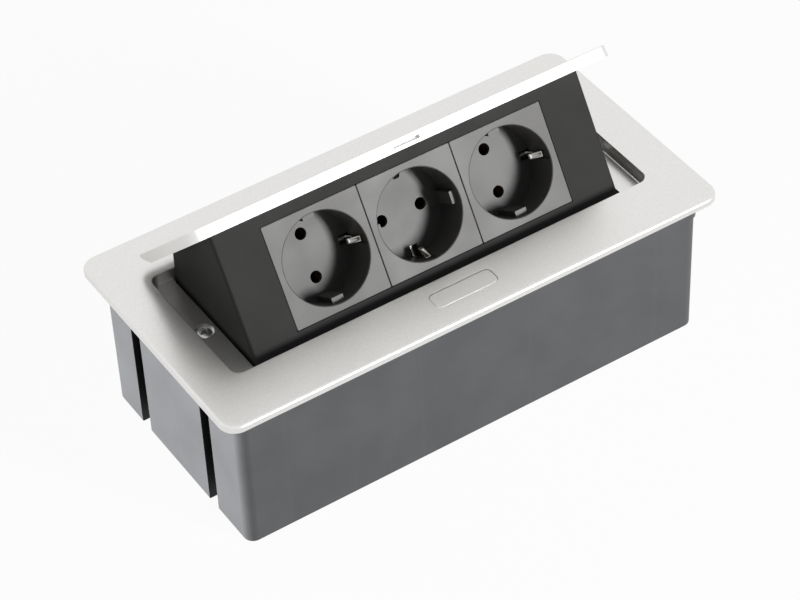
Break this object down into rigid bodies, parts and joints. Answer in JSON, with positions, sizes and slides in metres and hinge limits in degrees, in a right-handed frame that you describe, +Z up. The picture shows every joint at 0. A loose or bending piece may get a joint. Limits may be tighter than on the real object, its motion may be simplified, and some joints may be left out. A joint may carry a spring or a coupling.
{
  "type": "pop up desk socket",
  "caption": "Desk socket box whose slotted lid swings up at the press of a button and shows a row of earthed sockets on a sloping panel.",
  "frame": {"origin": "middle of the tub's flat underside", "axes": "+X along the lid to the right, +Y to the hinge side, +Z up out of the desk; modelled open as in the picture"},
  "size_m": [0.24, 0.12, 0.1267],
  "materials": {
    "frame_silver": "satin",
    "lid_silver": "satin",
    "button_silver": "satin silver lacquer",
    "tub_grey": "fine moulded",
    "charcoal": "fine moulded",
    "socket_grey": "semi-matte",
    "carrier_black": "matte",
    "steel": "zinc plated",
    "spring_steel": "bright drawn",
    "nickel": "nickel plated",
    "contact_brass": "rolled",
    "wire_brown": "cable sheath",
    "wire_blue": "cable sheath",
    "bush_rubber": "matte"
  },
  "bodies": {
    "base": {"frame": "frame_silver", "housing": "tub_grey", "frame_screws": "steel", "hinge_pin_left": "steel", "hinge_pin_right": "steel", "torsion_spring_left": "spring_steel", "torsion_spring_right": "spring_steel", "latch_guide": "carrier_black", "latch_screws": "steel", "latch_springs": "spring_steel", "cable_bush": "bush_rubber"},
    "flip_module": {"lid": "lid_silver", "lid_screws": "steel", "module_front": "charcoal", "module_rear_cover": "charcoal", "cover_screws": "steel", "socket_screws": "steel", "live_links": "wire_brown", "neutral_links": "wire_blue", "earth_rail": "contact_brass", "socket_insert_left": "socket_grey", "socket_base_left": "carrier_black", "earth_bracket_left": "nickel", "live_contact_left": "contact_brass", "neutral_contact_left": "contact_brass", "socket_insert_middle": "socket_grey", "socket_base_middle": "carrier_black", "earth_bracket_middle": "nickel", "live_contact_middle": "contact_brass", "neutral_contact_middle": "contact_brass", "socket_insert_right": "socket_grey", "socket_base_right": "carrier_black", "earth_bracket_right": "nickel", "live_contact_right": "contact_brass", "neutral_contact_right": "contact_brass"},
    "button": {"button": "button_silver"},
    "latch": {"latch_bolt": "carrier_black"}
  },
  "joints": [
    {"name": "lid_flip", "type": "hinge", "parent": "base", "child": "flip_module", "pos_m": [0, 0.0456, 0.0649], "axis": [1, 0, 0], "range_deg": [0, 44.5], "stiffness_Nm_per_rad": 0.3, "springref_deg": -68.75, "deforming": ["torsion_spring_left", "torsion_spring_right"]},
    {"name": "button_press", "type": "slide", "parent": "base", "child": "button", "axis": [0, 0, -1], "range_m": [0, 0.002], "stiffness_N_per_m": 300, "springref_m": -0.003},
    {"name": "latch_slide", "type": "slide", "parent": "base", "child": "latch", "axis": [0, -1, 0], "range_m": [0, 0.002], "stiffness_N_per_m": 300, "springref_m": -0.003, "deforming": ["latch_springs"]}
  ],
  "couplings": [
    {"joint": "latch_slide", "follows": "button_press", "ratio": 1}
  ]
}
